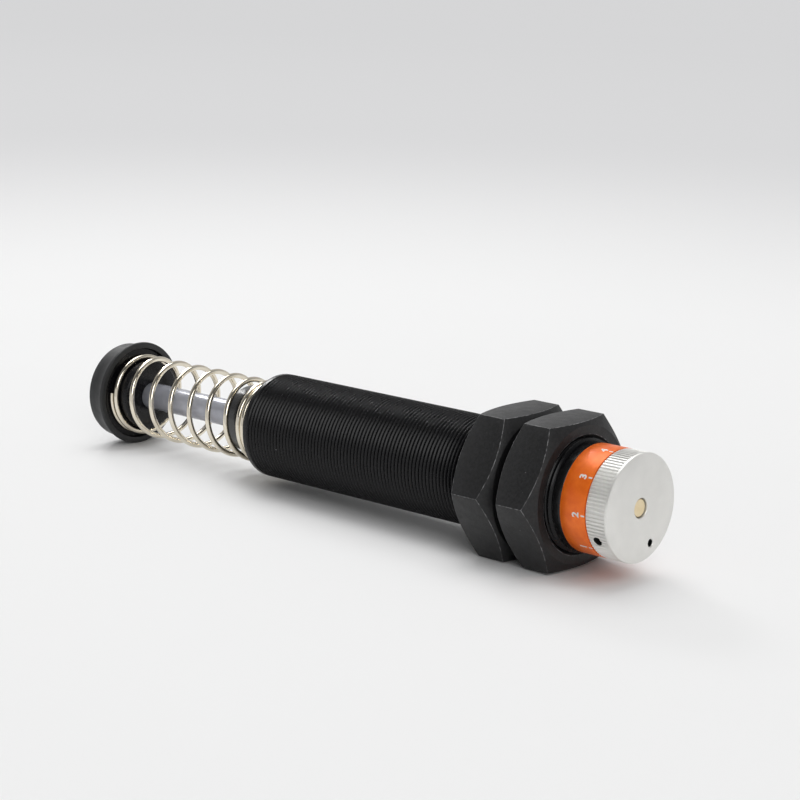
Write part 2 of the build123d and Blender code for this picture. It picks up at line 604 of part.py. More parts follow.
def make_lock_nut(front):
    """A hexagon nut, chamfered on both faces, bored to run on the thread's crests."""
    corner_r = nut_flats / math.sqrt(3) + PAST
    face_r = nut_flats / 2 * NUT_FACE_SHARE
    drop = (corner_r - face_r) * math.tan(math.radians(NUT_CHAMFER_ANGLE))
    back = front + NUT_T
    cone = turned([(front, 0), (front, face_r), (front + drop, corner_r),
                   (back - drop, corner_r), (back, face_r), (back, 0)])
    mouth_r = nut_bore_r + NUT_BORE_CHAMFER + PAST
    bore = turned([(front - PAST, 0), (front - PAST, mouth_r), (front + NUT_BORE_CHAMFER, nut_bore_r),
                   (back - NUT_BORE_CHAMFER, nut_bore_r), (back + PAST, mouth_r), (back + PAST, 0)])
    return (hex_bar(front, back, nut_flats) & cone) - bore


def make_all():
    """Every node by name."""
    y, z = on_circle(filler_pcr, 90)
    return {
        "outer_tube": make_outer_tube(),
        "front_gland": make_front_gland(),
        "rod_bearing": ring(-BEARING_IN_NOSE, bearing_back, ROD_R + RUNNING, bearing_r - SEATED),
        "rod_wiper": make_rod_wiper(),
        "rod_seal": make_rod_seal(),
        "gland_oring": oring(gland_oring_x, seated_r - 2 * ORING_R),
        "seal_retainer": ring(GLAND_DEPTH, retainer_back_x, rod_hole_r, seated_r),
        "pressure_tube": make_pressure_tube(),
        "accumulator_foam": ring(foam_front, foam_back, pressure_tube_r + FOAM_GAP, bore_r - FOAM_GAP),
        "return_spring": make_return_spring(),
        "piston_rod": make_piston_rod(),
        "piston": make_piston(),
        "piston_ring": make_piston_ring(),
        "piston_nut": make_piston_nut(),
        "check_plate": ring(plate_front, plate_front + PLATE_T, neck_r + RUNNING, pressure_r - PLATE_DROP),
        "spring_seat": make_spring_seat(),
        "bumper_cap": make_bumper_cap(),
        "head_screw": make_head_screw(),
        "rear_plug": make_rear_plug(),
        "plug_oring": oring(plug_oring_x, seated_r - 2 * ORING_R),
        "orifice_seat": make_orifice_seat(),
        "metering_needle": make_metering_needle(),
        "needle_pin": make_needle_pin(),
        "adjuster_shaft": make_adjuster_shaft(),
        "shaft_oring": oring(shaft_oring_x, SHAFT_R + SEAL_GAP),
        "shaft_circlip": make_shaft_circlip(),
        "filler_screw": grub_screw(filler_x, filler_x + FILLER_LENGTH, FILLER_R, y, z),
        "dial_ring": ring(body_end_x, plug_back_x, dial_seat_r + SEATED, dial_r),
        "adjuster_knob": make_knob(),
        "knob_set_screw": make_knob_set_screw(),
        "knob_lock_screw": make_knob_lock_screw(),
        "lock_nut_front": make_lock_nut(nut_front_x),
        "lock_nut_rear": make_lock_nut(nut_rear_x),
    }


os.makedirs("parts", exist_ok=True)
for name, part in make_all().items():
    export_step(part, f"parts/{name}.step")
    print(name, round(part.volume, 1))
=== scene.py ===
# %% [markdown]
# # Dressing an adjustable shock absorber
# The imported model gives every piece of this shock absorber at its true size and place. This lesson
# makes the pieces that show again, with the detail that a workshop puts on them. It then gives each
# surface its real finish, and sets up a small studio with a camera. Everything is in metres, with
# the absorber's axis along X: the head at the left end, the adjuster knob at the right.

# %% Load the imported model
import math
import bmesh
import bpy
from mathutils import Matrix, Vector


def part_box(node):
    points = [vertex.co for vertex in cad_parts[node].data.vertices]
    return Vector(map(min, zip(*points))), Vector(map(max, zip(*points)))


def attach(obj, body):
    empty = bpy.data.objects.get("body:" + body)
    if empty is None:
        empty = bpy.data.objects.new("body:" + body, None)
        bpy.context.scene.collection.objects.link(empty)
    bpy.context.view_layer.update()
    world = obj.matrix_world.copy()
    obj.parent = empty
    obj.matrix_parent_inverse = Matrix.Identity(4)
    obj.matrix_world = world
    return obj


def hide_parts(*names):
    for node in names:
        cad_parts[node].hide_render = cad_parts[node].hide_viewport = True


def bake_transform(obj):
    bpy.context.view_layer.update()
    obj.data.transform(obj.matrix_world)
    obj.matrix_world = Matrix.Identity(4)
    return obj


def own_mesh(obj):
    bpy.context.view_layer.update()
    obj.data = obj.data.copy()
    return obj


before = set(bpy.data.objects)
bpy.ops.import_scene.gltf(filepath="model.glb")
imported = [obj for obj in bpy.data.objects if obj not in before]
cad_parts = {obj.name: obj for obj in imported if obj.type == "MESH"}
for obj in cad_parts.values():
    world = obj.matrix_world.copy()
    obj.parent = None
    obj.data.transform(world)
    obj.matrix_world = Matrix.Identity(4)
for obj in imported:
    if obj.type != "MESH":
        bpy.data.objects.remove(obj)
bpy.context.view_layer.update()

MM = 0.001
HAIR = 0.02 * MM         # less than the eye sees, and enough to keep two faces apart

# %% [markdown]
# ## Measuring the model
# Each new piece takes its ends and its outside radius from the box of the node that it stands for,
# so it can't drift away from the model. Only small details are stated here, such as an edge.


# %% Ends and radius of a node
def ends(node):
    """Where a node starts and ends along X."""
    low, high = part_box(node)
    return low[0], high[0]


def radius(node):
    """How far a node reaches up from the axis."""
    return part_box(node)[1][2]


body_r = radius("outer_tube")
body_end = ends("outer_tube")[1]
dial_r = radius("dial_ring")
rod_r = radius("piston_rod")
print("radius of body, dial and rod, mm:", [round(r / MM, 2) for r in (body_r, dial_r, rod_r)])

# %% [markdown]
# ## Small helpers
# Colours are written as the hex values that a paint program shows, and one function turns them to
# the linear values that a shader needs. Another adds a shader node, with its settings and with its
# inputs, which are values or links. Operators act on everything that is selected, so each object is
# picked alone first.


# %% Colours, nodes and picking
def colour(code):
    """Linear colour from an sRGB hex code such as 'c8c8c8'."""
    parts = [int(code[k:k + 2], 16) / 255 for k in (0, 2, 4)]
    return [p / 12.92 if p <= 0.04045 else ((p + 0.055) / 1.055) ** 2.4 for p in parts] + [1.0]


def add_node(tree, kind, settings=None, inputs=None):
    """Adds a node. Settings are its own, and inputs are values or the outputs to link from."""
    node = tree.nodes.new("ShaderNode" + kind)
    for name, value in (settings or {}).items():
        setattr(node, name, value)
    for name, value in (inputs or {}).items():
        if isinstance(value, bpy.types.NodeSocket):
            tree.links.new(value, node.inputs[name])
        else:
            node.inputs[name].default_value = value
    return node


FACTOR, FROM, TO, MIXED = 0, 6, 7, 2        # sockets of a colour Mix node, whose names repeat


def pick(obj):
    """Selects one object and nothing else."""
    bpy.ops.object.select_all(action="DESELECT")
    obj.select_set(True)
    bpy.context.view_layer.objects.active = obj


def smooth(obj, angle=30):
    """Smooth shading, with a sharp edge where faces meet at more than the angle."""
    pick(obj)
    bpy.ops.object.shade_smooth_by_angle(angle=math.radians(angle))


def tidy(obj, gap=0.002 * MM):
    """Merges doubled points, drops loose ones and turns all faces outwards."""
    pick(obj)
    bpy.ops.object.mode_set(mode="EDIT")
    bpy.ops.mesh.select_all(action="SELECT")
    bpy.ops.mesh.remove_doubles(threshold=gap)
    bpy.ops.mesh.delete_loose()
    bpy.ops.mesh.select_all(action="SELECT")
    bpy.ops.mesh.normals_make_consistent(inside=False)
    bpy.ops.object.mode_set(mode="OBJECT")


def apply_modifier(obj, kind, **settings):
    """Adds a modifier, sets it and applies it."""
    pick(obj)
    modifier = obj.modifiers.new(kind.title(), kind)
    for name, value in settings.items():
        setattr(modifier, name, value)
    bpy.ops.object.modifier_apply(modifier=modifier.name)


def ease_edges(obj, width, angle=25, material=-1):
    """Rounds all edges sharper than the angle, as a file or a tumbler does."""
    apply_modifier(obj, "BEVEL", width=width, segments=2, limit_method="ANGLE", material=material,
                   angle_limit=math.radians(angle))


def finish_piece(obj, body, slot, *nodes):
    """Hangs a piece on its body and hides the nodes that it stands for. Its slot is not used."""
    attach(obj, body)
    if nodes:
        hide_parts(*nodes)
    print(obj.name, "faces", len(obj.data.polygons), "on", body)


# %% [markdown]
# ## Turning a piece on the lathe
# Most of this object was made on a lathe, so most pieces are made the same way here: a point is
# extruded along an outline, and the outline is spun about the X axis. A spin gives round pieces
# with only the points that the outline needs. A small bevel then breaks the edges, because no real
# edge is sharp, and the thin bright line on it tells the eye that the piece is solid metal.


# %% The lathe
def start_point(name, x, r):
    """A new object that holds one point, left in edit mode."""
    bpy.ops.object.select_all(action="DESELECT")
    bpy.ops.mesh.primitive_plane_add(size=MM)
    obj = bpy.context.object
    obj.name = obj.data.name = name
    bpy.ops.object.mode_set(mode="EDIT")
    bpy.ops.mesh.select_mode(type="VERT")
    bpy.ops.mesh.select_all(action="SELECT")
    bpy.ops.mesh.merge(type="CENTER")
    bpy.ops.transform.translate(value=(x, r, 0))
    return obj


def extrude_along(outline):
    """Extrudes the selected point from each (x, radius) of the outline to the next."""
    for here, there in zip(outline, outline[1:]):
        step = (there[0] - here[0], there[1] - here[1], 0)
        bpy.ops.mesh.extrude_region_move(TRANSFORM_OT_translate={"value": step})


def lathe(name, outline, steps=128, edge=0.12 * MM):
    """Turns a piece from (x, radius) points. An outline that starts off the axis is closed."""
    obj = start_point(name, *outline[0])
    extrude_along(outline + [outline[0]] if outline[0][1] > 0 else outline)
    bpy.ops.mesh.select_all(action="SELECT")
    bpy.ops.mesh.spin(steps=steps, angle=2 * math.pi, center=(0, 0, 0), axis=(1, 0, 0))
    bpy.ops.object.mode_set(mode="OBJECT")
    tidy(obj)
    if edge:
        ease_edges(obj, edge)
    smooth(obj)
    return obj


# %% [markdown]
# Holes are drilled with a Boolean modifier: a cone with the hole's radius at its bottom, and a
# wider mouth where the hole is countersunk, is taken away from the piece.


# %% The drill
def cut(obj, cutter, operation="DIFFERENCE"):
    """Cuts one closed mesh with another and throws the cutter away."""
    apply_modifier(obj, "BOOLEAN", object=cutter, operation=operation, solver="EXACT")
    bpy.data.objects.remove(cutter)


def drill(obj, mouth, inward, depth, r, mouth_r=None, over=MM):
    """Drills from a point on the surface, along inward, to that depth."""
    centre = Vector(mouth) + inward * (depth - over) / 2
    bpy.ops.object.select_all(action="DESELECT")
    bpy.ops.mesh.primitive_cone_add(vertices=32, radius1=mouth_r or r, radius2=r, depth=depth + over,
                                    location=centre, rotation=inward.to_track_quat("Z", "Y").to_euler())
    cut(obj, bpy.context.object)


# %% [markdown]
# ## Black oxide on steel
# The body and the nuts are steel, turned or milled, then blackened in a hot salt bath and oiled.
# The black layer is thin and hides the steel's mirror, so the base is a very dark grey with no
# metal in it. On the milled nuts it is matt. The thread is smoother, and the finely turned pieces
# are smoother still and reflect more. Patches change the tone a little, fine grit breaks up the
# light, and a few grains of dust lie on the thread and the nuts. The dust is drawn larger than
# real dust, so that it shows.


# %% Patterns that all finishes share
NOISE_LOW, NOISE_HIGH = 0.3, 0.7        # the noise seldom leaves this span
GRIT_STRENGTH = 0.3
DUST_R, DUST_APART = 0.2 * MM, 6 * MM
DUST_CORE = 1.5                         # more than 1, so that the middle of a grain is solid


def patches(tree, size, low, high, detail=4.0):
    """A soft uneven value from low to high, in patches of about that size. Below 0 counts as 0."""
    place = add_node(tree, "TexCoord")
    noise = add_node(tree, "TexNoise", inputs={"Vector": place.outputs["Object"], "Scale": 1 / size,
                                               "Detail": detail})
    spread = add_node(tree, "MapRange", inputs={"Value": noise.outputs["Fac"], "From Min": NOISE_LOW,
                                                "From Max": NOISE_HIGH, "To Min": low, "To Max": high})
    return spread.outputs["Result"]


def specks(tree):
    """1 on grains of dust that are scattered over the piece, and 0 between them."""
    place = add_node(tree, "TexCoord")
    cells = add_node(tree, "TexVoronoi", inputs={"Vector": place.outputs["Object"],
                                                 "Scale": 1 / DUST_APART})
    spread = add_node(tree, "MapRange", inputs={"Value": cells.outputs["Distance"],
                                                "From Max": DUST_R / DUST_APART,
                                                "To Min": DUST_CORE, "To Max": 0.0})
    return spread.outputs["Result"]


def finish(name, tones, tone_size, gloss, gloss_size, grit=None, grit_size=0.2 * MM, rare=0.0, dust=None,
           **plain):
    """A material with two tones in patches, the second rare or not, an uneven gloss, grit and dust."""
    material = bpy.data.materials.new(name)
    material.use_nodes = True
    tree = material.node_tree
    shader = tree.nodes["Principled BSDF"]
    for socket, value in plain.items():
        shader.inputs[socket.replace("_", " ")].default_value = value
    mix = add_node(tree, "Mix", {"data_type": "RGBA"},
                   {FACTOR: patches(tree, tone_size, -rare, 1.0, detail=6.0),
                    FROM: colour(tones[0]), TO: colour(tones[1])})
    if dust:
        mix = add_node(tree, "Mix", {"data_type": "RGBA"},
                       {FACTOR: specks(tree), FROM: mix.outputs[MIXED], TO: colour(dust)})
    tree.links.new(mix.outputs[MIXED], shader.inputs["Base Color"])
    tree.links.new(patches(tree, gloss_size, *gloss), shader.inputs["Roughness"])
    if grit:
        bump = add_node(tree, "Bump", inputs={"Height": patches(tree, grit_size, 0.0, 1.0, detail=2.0),
                                              "Strength": GRIT_STRENGTH, "Distance": grit})
        tree.links.new(bump.outputs["Normal"], shader.inputs["Normal"])
    return material


# %% The black finishes
thread_black = finish("black_oxide_thread", ("070709", "0d0d10"), 4 * MM, (0.22, 0.3), 2.5 * MM, 0.02 * MM,
                      dust="8c8c90", Specular_IOR_Level=0.28)
nut_black = finish("black_oxide_nut", ("131314", "232324"), 0.9 * MM, (0.44, 0.54), 2.5 * MM, 0.08 * MM,
                   0.35 * MM, dust="6f6f72", Specular_IOR_Level=0.4)
turned_black = finish("black_oxide_turned", ("070708", "0c0c0e"), 4 * MM, (0.14, 0.26), 3 * MM, 0.01 * MM,
                      Specular_IOR_Level=0.7)
worn_edge = finish("black_oxide_worn_edge", ("1c1c1d", "8a8a8c"), 1.4 * MM, (0.4, 0.5), 3 * MM, rare=0.35)
print("black finishes", [m.name for m in (thread_black, nut_black, turned_black, worn_edge)])

# %% [markdown]
# ## The threaded body
# The body carries an M36 x 1.5 thread over nearly its whole length. It could be a pattern of rings,
# but a real thread is one groove that winds, so it is cut as a right-handed helix: the outline of
# one ridge is wound up with the Screw modifier. The winding is trimmed square at both ends, and the
# open rims are drawn out to the plain land, the chamfer, the bore and the plain tail.

# %% One ridge of the thread, wound up
PITCH = 1.5 * MM
DEPTH = 0.92 * MM
FLANK = 0.53 * MM        # a flank leans 30 degrees
EASE = 0.05 * MM         # breaks the edges of the crest
ROOT = 0.25 * MM         # flat at the bottom of the groove
THREAD_STEPS = 72
SPARE_TURNS = 2          # wound in front of the thread and trimmed off again
SAME = 0.005 * MM        # points that are closer than this count as one
LAND_END = 2.6 * MM
TAIL_LENGTH = 3.1 * MM
root_r = body_r - DEPTH
tail_start = body_end - TAIL_LENGTH

ridge = [(0, root_r), (ROOT, root_r), (ROOT + FLANK - EASE, body_r - EASE), (ROOT + FLANK + EASE, body_r),
         (PITCH - FLANK - EASE, body_r), (PITCH - FLANK + EASE, body_r - EASE), (PITCH, root_r)]
wound_from = LAND_END - SPARE_TURNS * PITCH
turns = math.ceil((tail_start - LAND_END) / PITCH) + SPARE_TURNS + 1
tube = start_point("threaded_body", wound_from, root_r)
extrude_along([(wound_from + x, r) for x, r in ridge])
bpy.ops.object.mode_set(mode="OBJECT")
apply_modifier(tube, "SCREW", axis="X", angle=2 * math.pi, steps=THREAD_STEPS, render_steps=THREAD_STEPS,
               iterations=turns, screw_offset=PITCH, use_merge_vertices=True, merge_threshold=SAME)
tidy(tube)
print("thread wound", turns, "turns,", len(tube.data.polygons), "faces")


# %% [markdown]
# The bisect operator trims a mesh in a plane. It takes points near the plane as lying in it, so its
# threshold is set far below the size of the thread. A rim is then found by place: its edges are
# open, which means that only one face uses them, and they lie in the plane.


# %% Trim, find and draw out a rim
def trim(obj, x, keep_above):
    """Cuts an open piece square at x and keeps one side."""
    pick(obj)
    bpy.ops.object.mode_set(mode="EDIT")
    bpy.ops.mesh.select_all(action="SELECT")
    bpy.ops.mesh.bisect(plane_co=(x, 0, 0), plane_no=(1, 0, 0), clear_inner=keep_above,
                        clear_outer=not keep_above, threshold=0.0001 * MM)
    bpy.ops.object.mode_set(mode="OBJECT")


def select_rim(obj, x):
    """In edit mode, selects the open edges that lie in the plane at x."""
    bpy.ops.mesh.select_mode(type="EDGE")
    bpy.ops.mesh.select_all(action="DESELECT")
    mesh = bmesh.from_edit_mesh(obj.data)
    for edge in mesh.edges:
        edge.select_set(edge.is_boundary and all(abs(p.co.x - x) < SAME for p in edge.verts))
    bmesh.update_edit_mesh(obj.data)


def draw_out(obj, x, r):
    """Extrudes the selected rim and sets it to a true circle of radius r at x."""
    bpy.ops.mesh.extrude_region_move()
    mesh = bmesh.from_edit_mesh(obj.data)
    for point in mesh.verts:
        if point.select:
            share = r / math.hypot(point.co.y, point.co.z)
            point.co = (x, point.co.y * share, point.co.z * share)
    bmesh.update_edit_mesh(obj.data)


# %% Finish both ends of the body
CHAMFER = 1.0 * MM
BREAK = 0.15 * MM
BORE_R = 14.0 * MM
LAND_R = body_r - HAIR
TAIL_R = body_r - 0.9 * MM
front_outline = [(LAND_END, LAND_R), (CHAMFER + BREAK, LAND_R), (CHAMFER - BREAK / 2, LAND_R - BREAK / 2),
                 (BREAK, LAND_R - CHAMFER + BREAK), (0, LAND_R - CHAMFER - BREAK / 2), (0, BORE_R),
                 (body_end, BORE_R)]
tail_outline = [(tail_start, root_r), (tail_start + BREAK, TAIL_R), (body_end - BREAK, TAIL_R),
                (body_end, TAIL_R - BREAK)]
trim(tube, LAND_END, True)
trim(tube, tail_start, False)
pick(tube)
bpy.ops.object.mode_set(mode="EDIT")
for rim, outline in ((LAND_END, front_outline), (tail_start, tail_outline)):
    select_rim(tube, rim)
    for x, r in outline:
        draw_out(tube, x, r)
select_rim(tube, body_end)
bpy.ops.mesh.bridge_edge_loops()
bpy.ops.object.mode_set(mode="OBJECT")
tidy(tube)
smooth(tube, 35)
tube.data.materials.append(thread_black)
tube.data.materials.append(turned_black)
for face in tube.data.polygons:
    face.material_index = int(face.center.x > tail_start + BREAK / 3)
finish_piece(tube, "cylinder", "black_oxide", "outer_tube")

# %% [markdown]
# ## The lock nuts
# Two hexagon nuts, 46 mm across flats. Each was sawn from hexagon bar and then faced on both sides
# with a chamfer, which leaves the curved corners. Here the bar is a cylinder with six sides, and a
# turned blank with the chamfers and the bore trims it. The bevel on the edges has a material of its
# own, because corners are where the black layer wears through to steel. Only one nut is made, and
# the second is a copy of it with its own mesh, moved along the thread.


# %% The turned blank of a nut
FACE_SHARE = 0.475                      # radius of the turned face, as a share of the flats
FACE_LEAN = math.radians(30)
THREAD_PLAY = 0.05 * MM
NUT_CHAMFER = 1.0 * MM
OVER = 2 * MM                           # how far the bar and the blank reach past the nut
nut_front, nut_back = ends("lock_nut_front")
flats = 2 * radius("lock_nut_front")
corner = flats / math.sqrt(3)
outside = corner + OVER
face_r = FACE_SHARE * flats
drop = (outside - face_r) * math.tan(FACE_LEAN)
nut_bore = body_r + THREAD_PLAY
blank = lathe("nut_blank",
              [(nut_front, nut_bore + NUT_CHAMFER), (nut_front, face_r), (nut_front + drop, outside),
               (nut_back - drop, outside), (nut_back, face_r), (nut_back, nut_bore + NUT_CHAMFER),
               (nut_back - NUT_CHAMFER, nut_bore), (nut_front + NUT_CHAMFER, nut_bore)], steps=96, edge=0)
print("chamfer of a nut, mm:", round(drop / MM, 2), "deep at radius", round(outside / MM, 2))

# %% The front nut
WEAR = 0.13 * MM
bpy.ops.object.select_all(action="DESELECT")
bpy.ops.mesh.primitive_cylinder_add(vertices=6, radius=corner, depth=nut_back - nut_front + OVER,
                                    location=((nut_front + nut_back) / 2, 0, 0),
                                    rotation=(0, math.pi / 2, 0))
front_nut = bpy.context.object
front_nut.name = front_nut.data.name = "hexagon_lock_nut_front"
bpy.ops.object.transform_apply(location=True, rotation=True, scale=True)
cut(front_nut, blank, "INTERSECT")
tidy(front_nut)
front_nut.data.materials.clear()
front_nut.data.materials.append(nut_black)
front_nut.data.materials.append(worn_edge)
ease_edges(front_nut, WEAR, angle=35, material=1)
smooth(front_nut, 28)
print("across corners and flats, mm:", [round(s / MM, 2) for s in front_nut.dimensions[1:]])

# %% The rear nut is its copy
rear_nut = front_nut.copy()
rear_nut.data = front_nut.data.copy()
rear_nut.name = rear_nut.data.name = "hexagon_lock_nut_rear"
bpy.context.scene.collection.objects.link(rear_nut)
rear_nut.data.transform(Matrix.Translation((ends("lock_nut_rear")[0] - nut_front, 0, 0)))
finish_piece(front_nut, "nut_front", "black_oxide", "lock_nut_front")
finish_piece(rear_nut, "nut_rear", "black_oxide", "lock_nut_rear")

# %% [markdown]
# ## The return spring
# The spring is hard-drawn wire, coiled and nickel plated, which leaves a warm silver that mirrors
# the room in thin bands. It is made as a coiling machine makes it: a round section is wound up
# close with the Screw modifier, and then the pitch is opened between the closed turns at the ends.

# %% How far each turn is opened
WIRE_R = 0.95 * MM
CLOSED_PITCH = 2.1 * MM
TURNS = 10.25
STEPS_PER_TURN = 64
SECTION = 24
TIP_ANGLE = math.radians(170.7)         # where round the axis the wire starts
RISE_START, RISE_TURNS = 0.75, 1.0      # the turn where the pitch starts to open, and for how long
FALL_START, FALL_TURNS = 7.0, 1.3       # the same for closing again
PITCH_TAPER = 0.35                      # how much wider the first open turns are than the last
coil_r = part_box("return_spring")[1][2] - WIRE_R
spring_start, spring_end = ends("return_spring")
spring_steps = int(TURNS * STEPS_PER_TURN)


def gentle(t):
    """0 before 0, 1 after 1, and a smooth rise between."""
    t = min(max(t, 0.0), 1.0)
    return t * t * (3 - 2 * t)


def openness(turn):
    """How open the pitch is at that turn: 0 is closed."""
    gate = gentle((turn - RISE_START) / RISE_TURNS) * (1 - gentle((turn - FALL_START) / FALL_TURNS))
    share = (turn - RISE_START) / (FALL_START + FALL_TURNS - RISE_START)
    return gate * (1 + PITCH_TAPER * (0.5 - share))


sums = [0.0]
for k in range(spring_steps):
    sums.append(sums[-1] + openness((k + 0.5) * TURNS / spring_steps))
opened = [total / sums[-1] for total in sums]
extra = spring_end - spring_start - 2 * WIRE_R - CLOSED_PITCH * TURNS
print("the open turns take", round(extra / MM, 2), "mm more than closed ones would")

# %% Wind the wire and open the turns
bpy.ops.object.select_all(action="DESELECT")
bpy.ops.mesh.primitive_circle_add(vertices=SECTION, radius=WIRE_R, rotation=(TIP_ANGLE, 0, 0),
                                  location=(0, coil_r * math.cos(TIP_ANGLE), coil_r * math.sin(TIP_ANGLE)))
spring = bpy.context.object
spring.name = spring.data.name = "return_spring_wire"
bpy.ops.object.transform_apply(location=True, rotation=True, scale=True)
apply_modifier(spring, "SCREW", axis="X", angle=2 * math.pi * TURNS, steps=spring_steps,
               render_steps=spring_steps, screw_offset=CLOSED_PITCH * TURNS, use_merge_vertices=False)
for point in spring.data.vertices:
    point.co.x += spring_start + WIRE_R + extra * opened[point.index // SECTION]
pick(spring)
bpy.ops.object.mode_set(mode="EDIT")
bpy.ops.mesh.select_mode(type="EDGE")
bpy.ops.mesh.select_all(action="DESELECT")
bpy.ops.mesh.select_non_manifold()
bpy.ops.mesh.fill_holes(sides=0)
bpy.ops.mesh.select_all(action="SELECT")
bpy.ops.mesh.normals_make_consistent(inside=False)
bpy.ops.object.mode_set(mode="OBJECT")
smooth(spring, 50)
print("wire from", round(min(p.co.x for p in spring.data.vertices) / MM, 2), "to",
      round(max(p.co.x for p in spring.data.vertices) / MM, 2), "mm")

# %% [markdown]
# Each ring of the wire is moved along by the share of the opening that lies behind it, so a whole ring moves
# alike and the wire stays round.

# %% Plate the wire and hide the model's spring
nickel = finish("bright_nickel_plate", ("ddd4c2", "ebe4d4"), 5 * MM, (0.04, 0.08), 1.5 * MM, Metallic=1.0)
spring.data.materials.append(nickel)
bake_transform(spring)
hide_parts("return_spring")
print("spring faces", len(spring.data.polygons), "rings", spring_steps + 1)

# %% [markdown]
# ## The head
# The spring pushes on a turned steel seat, blackened as the thread is. The cap that takes the blow
# is moulded from dark grey polymer and pressed over the seat's flange. Its side flares a little
# towards a lip that stands proud round the spring. Moulded polymer is matt: its grain comes from
# the spark-eroded mould.

# %% Spring seat
seat_front, seat_back = ends("spring_seat")
FLANGE = 2.5 * MM
HUB_R = 12.4 * MM
HUB_EDGE = 0.5 * MM
SCREW_HOLE_R = 3.2 * MM
ROD_SOCKET = 4 * MM
flange_r = radius("spring_seat")
seat_face = seat_front + FLANGE
seat = lathe("turned_spring_seat",
             [(seat_front, SCREW_HOLE_R), (seat_front, flange_r), (seat_face, flange_r), (seat_face, HUB_R),
              (seat_back - HUB_EDGE, HUB_R), (seat_back, HUB_R - HUB_EDGE), (seat_back, rod_r + HAIR),
              (seat_back - ROD_SOCKET, rod_r + HAIR), (seat_back - ROD_SOCKET, SCREW_HOLE_R)])
seat.data.materials.append(thread_black)
finish_piece(seat, "rod", "gloss_black", "spring_seat")

# %% Bumper cap
cap_face, cap_lip = ends("bumper_cap")
lip_r = radius("bumper_cap")
CAP_R = 17.2 * MM
LIP_IN = 16.5 * MM
LIP_WIDTH, LIP_EDGE = 0.9 * MM, 0.3 * MM
POCKET_R, POCKET_DEPTH = 5.4 * MM, 3.8 * MM
# millimetres behind the face, and outside CAP_R
FLARE = ((0, -1.0), (0.3, -0.3), (1.0, 0), (3.2, 0.05), (5.0, 0.25), (6.6, 0.65))
cap_side = [(cap_face + back * MM, CAP_R + out * MM) for back, out in FLARE]
cap = lathe("moulded_bumper_cap",
            [(cap_face, 0)] + cap_side
            + [(cap_lip - LIP_WIDTH, lip_r), (cap_lip - LIP_EDGE, lip_r), (cap_lip, lip_r - LIP_EDGE),
               (cap_lip, LIP_IN), (seat_face, LIP_IN), (seat_face, flange_r + HAIR),
               (seat_front, flange_r + HAIR), (seat_front, POCKET_R),
               (seat_front - POCKET_DEPTH, POCKET_R), (seat_front - POCKET_DEPTH, 0)],
            steps=144, edge=0.15 * MM)
polymer = finish("moulded_dark_grey_polymer", ("222324", "28292a"), 5 * MM, (0.5, 0.62), 3 * MM, 0.05 * MM,
                 0.4 * MM)
cap.data.materials.append(polymer)
finish_piece(cap, "rod", "grey_polymer", "bumper_cap")

# %% [markdown]
# ## Rod and gland
# The rod is steel, hard-chromed and ground. Grinding leaves marks that run round it, finer than
# the eye sees, so they are drawn coarser here: a noise that is squeezed along X and stretched round
# the rod. They spread the mirror a little along the rod. The room in front of the rod is dark, and
# a full mirror would show mostly that, so the chrome has only a part of a metal's reflection.

# %% Rod
rod_front, rod_back = ends("piston_rod")
neck_x = ends("piston")[0]
NECK_R = 3.5 * MM
rod = lathe("ground_piston_rod", [(rod_front, 0), (rod_front, rod_r), (neck_x, rod_r), (neck_x, NECK_R),
                                  (rod_back, NECK_R), (rod_back, 0)], steps=96, edge=0.3 * MM)
print("rod, mm:", round((rod_back - rod_front) / MM, 2), "long")

# %% Ground chrome
GRIND_ALONG, GRIND_ROUND = 3.0 / MM, 60     # how often the marks change in a metre, along and round
chrome = finish("ground_hard_chrome", ("acaeb7", "bbbdc6"), 5 * MM, (0.2, 0.27), 4 * MM, Metallic=0.4)
rod_nodes = chrome.node_tree
rod_place = add_node(rod_nodes, "TexCoord")
squeeze = add_node(rod_nodes, "Mapping", inputs={"Vector": rod_place.outputs["Object"],
                                                 "Scale": (GRIND_ALONG, GRIND_ROUND, GRIND_ROUND)})
grinding = add_node(rod_nodes, "TexNoise", inputs={"Vector": squeeze.outputs["Vector"], "Scale": 1.0})
grind_marks = add_node(rod_nodes, "Bump", inputs={"Height": grinding.outputs["Fac"], "Strength": 0.1,
                                                  "Distance": 0.01 * MM})
rod_nodes.links.new(grind_marks.outputs["Normal"], rod_nodes.nodes["Principled BSDF"].inputs["Normal"])
rod.data.materials.append(chrome)
finish_piece(rod, "rod", "chrome_rod", "piston_rod")

# %% [markdown]
# The gland closes the body's front end and guides the rod. It is turned steel, blackened, with two
# blind holes in its nose for a pin spanner.

# %% Gland
nose_front, gland_back = ends("front_gland")
NOSE_R, NOSE_EDGE = 11.5 * MM, 0.8 * MM
WIPER_SEAT_R, WIPER_SEAT = 7.5 * MM, 3.6 * MM
BEARING_SEAT_R = 6.25 * MM
SEAL_SEAT_R, SEAL_SEAT = 8.5 * MM, 5.5 * MM
PIN_HOLE_AT, PIN_HOLE_R, PIN_HOLE_DEPTH = 9.5 * MM, 1.1 * MM, 4 * MM
FIT_R = BORE_R - HAIR
gland = lathe("turned_front_gland",
              [(nose_front, WIPER_SEAT_R), (nose_front, NOSE_R - NOSE_EDGE), (nose_front + NOSE_EDGE, NOSE_R),
               (0, NOSE_R), (0, FIT_R), (gland_back, FIT_R), (gland_back, SEAL_SEAT_R),
               (gland_back - SEAL_SEAT, SEAL_SEAT_R), (gland_back - SEAL_SEAT, BEARING_SEAT_R),
               (nose_front + WIPER_SEAT, BEARING_SEAT_R), (nose_front + WIPER_SEAT, WIPER_SEAT_R)])
for y in (-PIN_HOLE_AT, PIN_HOLE_AT):
    drill(gland, (nose_front, y, 0), Vector((1, 0, 0)), PIN_HOLE_DEPTH, PIN_HOLE_R)
smooth(gland)
